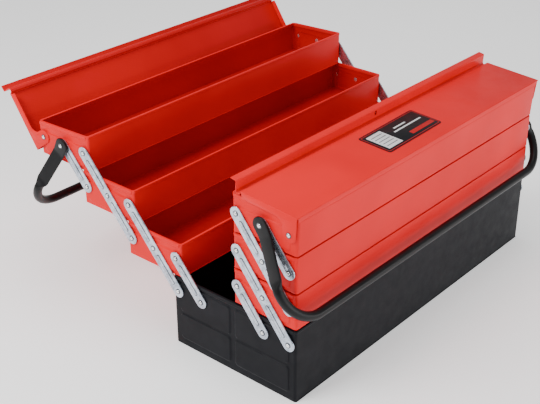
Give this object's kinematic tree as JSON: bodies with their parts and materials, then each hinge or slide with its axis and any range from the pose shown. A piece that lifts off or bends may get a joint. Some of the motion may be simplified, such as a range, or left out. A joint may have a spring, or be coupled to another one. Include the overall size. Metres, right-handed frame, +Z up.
{
  "type": "cantilever toolbox",
  "caption": "Metal toolbox whose trays fan out sideways on riveted links, with hinged lids and swinging carrying handles; one side open, one side folded.",
  "frame": {"origin": "centre of the base's underside, on the surface that the box stands on", "axes": "+X along the box, +Y from the folded front side to the opened rear side, +Z up"},
  "size_m": [0.5824, 0.5327, 0.2747],
  "materials": {
    "red_paint": "gloss red powder coat",
    "black_paint": "satin charcoal-black paint",
    "black_coat": "satin black coating",
    "zinc": "bright zinc plating",
    "label": "satin printed label"
  },
  "bodies": {
    "base": {"base_box": "black_paint"},
    "front_lower_tray": {"front_lower_tray": "red_paint", "front_left_lower_inner_rivet": "zinc", "front_left_lower_mid_rivet": "zinc", "front_left_lower_outer_rivet": "zinc", "front_right_lower_inner_rivet": "zinc", "front_right_lower_mid_rivet": "zinc", "front_right_lower_outer_rivet": "zinc"},
    "front_middle_tray": {"front_middle_tray": "red_paint", "front_left_middle_inner_rivet": "zinc", "front_left_middle_mid_rivet": "zinc", "front_left_middle_outer_rivet": "zinc", "front_right_middle_inner_rivet": "zinc", "front_right_middle_mid_rivet": "zinc", "front_right_middle_outer_rivet": "zinc"},
    "front_upper_tray": {"front_upper_tray": "red_paint", "front_left_upper_inner_rivet": "zinc", "front_left_handle_rivet": "zinc", "front_right_upper_inner_rivet": "zinc", "front_right_handle_rivet": "zinc"},
    "front_long_lower_links": {"front_left_long_lower_link": "zinc", "front_right_long_lower_link": "zinc"},
    "front_short_lower_links": {"front_left_short_lower_link": "zinc", "front_right_short_lower_link": "zinc"},
    "front_long_upper_links": {"front_left_long_upper_link": "zinc", "front_right_long_upper_link": "zinc"},
    "front_short_upper_links": {"front_left_short_upper_link": "zinc", "front_right_short_upper_link": "zinc"},
    "front_lid": {"front_lid": "red_paint", "lid_label": "label"},
    "front_handle": {"front_handle": "black_coat"},
    "rear_lower_tray": {"rear_lower_tray": "red_paint", "rear_left_lower_inner_rivet": "zinc", "rear_left_lower_mid_rivet": "zinc", "rear_left_lower_outer_rivet": "zinc", "rear_right_lower_inner_rivet": "zinc", "rear_right_lower_mid_rivet": "zinc", "rear_right_lower_outer_rivet": "zinc"},
    "rear_middle_tray": {"rear_middle_tray": "red_paint", "rear_left_middle_inner_rivet": "zinc", "rear_left_middle_mid_rivet": "zinc", "rear_left_middle_outer_rivet": "zinc", "rear_right_middle_inner_rivet": "zinc", "rear_right_middle_mid_rivet": "zinc", "rear_right_middle_outer_rivet": "zinc"},
    "rear_upper_tray": {"rear_upper_tray": "red_paint", "rear_left_upper_inner_rivet": "zinc", "rear_left_handle_rivet": "zinc", "rear_right_upper_inner_rivet": "zinc", "rear_right_handle_rivet": "zinc"},
    "rear_long_lower_links": {"rear_left_long_lower_link": "zinc", "rear_right_long_lower_link": "zinc"},
    "rear_short_lower_links": {"rear_left_short_lower_link": "zinc", "rear_right_short_lower_link": "zinc"},
    "rear_long_upper_links": {"rear_left_long_upper_link": "zinc", "rear_right_long_upper_link": "zinc"},
    "rear_short_upper_links": {"rear_left_short_upper_link": "zinc", "rear_right_short_upper_link": "zinc"},
    "rear_lid": {"rear_lid": "red_paint"},
    "rear_handle": {"rear_handle": "black_coat"}
  },
  "joints": [
    {"name": "front_fold", "type": "hinge", "parent": "base", "child": "front_long_lower_links", "pos_m": [0, -0.0896, 0.0805], "axis": [1, 0, 0], "range_deg": [0, 80.1]},
    {"name": "front_lower_tray_level", "type": "hinge", "parent": "front_long_lower_links", "child": "front_lower_tray", "pos_m": [0, -0.0503, 0.1293], "axis": [1, 0, 0], "range_deg": [-80.1, 0]},
    {"name": "front_middle_tray_level", "type": "hinge", "parent": "front_long_lower_links", "child": "front_middle_tray", "pos_m": [0, -0.011, 0.1781], "axis": [1, 0, 0], "range_deg": [-80.1, 0]},
    {"name": "front_short_lower_fold", "type": "hinge", "parent": "base", "child": "front_short_lower_links", "pos_m": [0, -0.0503, 0.0805], "axis": [1, 0, 0], "range_deg": [0, 80.1]},
    {"name": "front_long_upper_fold", "type": "hinge", "parent": "front_middle_tray", "child": "front_long_upper_links", "pos_m": [0, -0.0503, 0.1781], "axis": [1, 0, 0], "range_deg": [0, 80.1]},
    {"name": "front_short_upper_fold", "type": "hinge", "parent": "front_middle_tray", "child": "front_short_upper_links", "pos_m": [0, -0.0896, 0.1781], "axis": [1, 0, 0], "range_deg": [0, 80.1]},
    {"name": "front_upper_tray_level", "type": "hinge", "parent": "front_long_upper_links", "child": "front_upper_tray", "pos_m": [0, -0.011, 0.2269], "axis": [1, 0, 0], "range_deg": [-80.1, 0]},
    {"name": "front_lid_hinge", "type": "hinge", "parent": "front_upper_tray", "child": "front_lid", "pos_m": [0, -0.0896, 0.2269], "axis": [1, 0, 0], "range_deg": [0, 120]},
    {"name": "front_handle_swing", "type": "hinge", "parent": "front_upper_tray", "child": "front_handle", "pos_m": [0, -0.0503, 0.2269], "axis": [-1, 0, 0], "range_deg": [0, 169.3]},
    {"name": "rear_fold", "type": "hinge", "parent": "base", "child": "rear_long_lower_links", "pos_m": [0, 0.0896, 0.0805], "axis": [-1, 0, 0], "range_deg": [-80.1, 0]},
    {"name": "rear_lower_tray_level", "type": "hinge", "parent": "rear_long_lower_links", "child": "rear_lower_tray", "pos_m": [0, 0.13092, 0.1276], "axis": [-1, 0, 0], "range_deg": [0, 80.1]},
    {"name": "rear_middle_tray_level", "type": "hinge", "parent": "rear_long_lower_links", "child": "rear_middle_tray", "pos_m": [0, 0.17224, 0.1747], "axis": [-1, 0, 0], "range_deg": [0, 80.1]},
    {"name": "rear_short_lower_fold", "type": "hinge", "parent": "base", "child": "rear_short_lower_links", "pos_m": [0, 0.0503, 0.0805], "axis": [-1, 0, 0], "range_deg": [-80.1, 0]},
    {"name": "rear_long_upper_fold", "type": "hinge", "parent": "rear_middle_tray", "child": "rear_long_upper_links", "pos_m": [0, 0.21154, 0.1747], "axis": [-1, 0, 0], "range_deg": [-80.1, 0]},
    {"name": "rear_short_upper_fold", "type": "hinge", "parent": "rear_middle_tray", "child": "rear_short_upper_links", "pos_m": [0, 0.25084, 0.1747], "axis": [-1, 0, 0], "range_deg": [-80.1, 0]},
    {"name": "rear_upper_tray_level", "type": "hinge", "parent": "rear_long_upper_links", "child": "rear_upper_tray", "pos_m": [0, 0.25287, 0.2218], "axis": [-1, 0, 0], "range_deg": [0, 80.1]},
    {"name": "rear_lid_hinge", "type": "hinge", "parent": "rear_upper_tray", "child": "rear_lid", "pos_m": [0, 0.33147, 0.2218], "axis": [-1, 0, 0], "range_deg": [-120, 0]},
    {"name": "rear_handle_swing", "type": "hinge", "parent": "rear_upper_tray", "child": "rear_handle", "pos_m": [0, 0.29217, 0.2218], "axis": [1, 0, 0], "range_deg": [0, 171.4]}
  ],
  "couplings": [
    {"joint": "front_lower_tray_level", "follows": "front_fold", "ratio": -1},
    {"joint": "front_middle_tray_level", "follows": "front_fold", "ratio": -1},
    {"joint": "front_short_lower_fold", "follows": "front_fold", "ratio": 1},
    {"joint": "front_long_upper_fold", "follows": "front_fold", "ratio": 1},
    {"joint": "front_short_upper_fold", "follows": "front_fold", "ratio": 1},
    {"joint": "front_upper_tray_level", "follows": "front_fold", "ratio": -1},
    {"joint": "rear_lower_tray_level", "follows": "rear_fold", "ratio": -1},
    {"joint": "rear_middle_tray_level", "follows": "rear_fold", "ratio": -1},
    {"joint": "rear_short_lower_fold", "follows": "rear_fold", "ratio": 1},
    {"joint": "rear_long_upper_fold", "follows": "rear_fold", "ratio": 1},
    {"joint": "rear_short_upper_fold", "follows": "rear_fold", "ratio": 1},
    {"joint": "rear_upper_tray_level", "follows": "rear_fold", "ratio": -1}
  ]
}
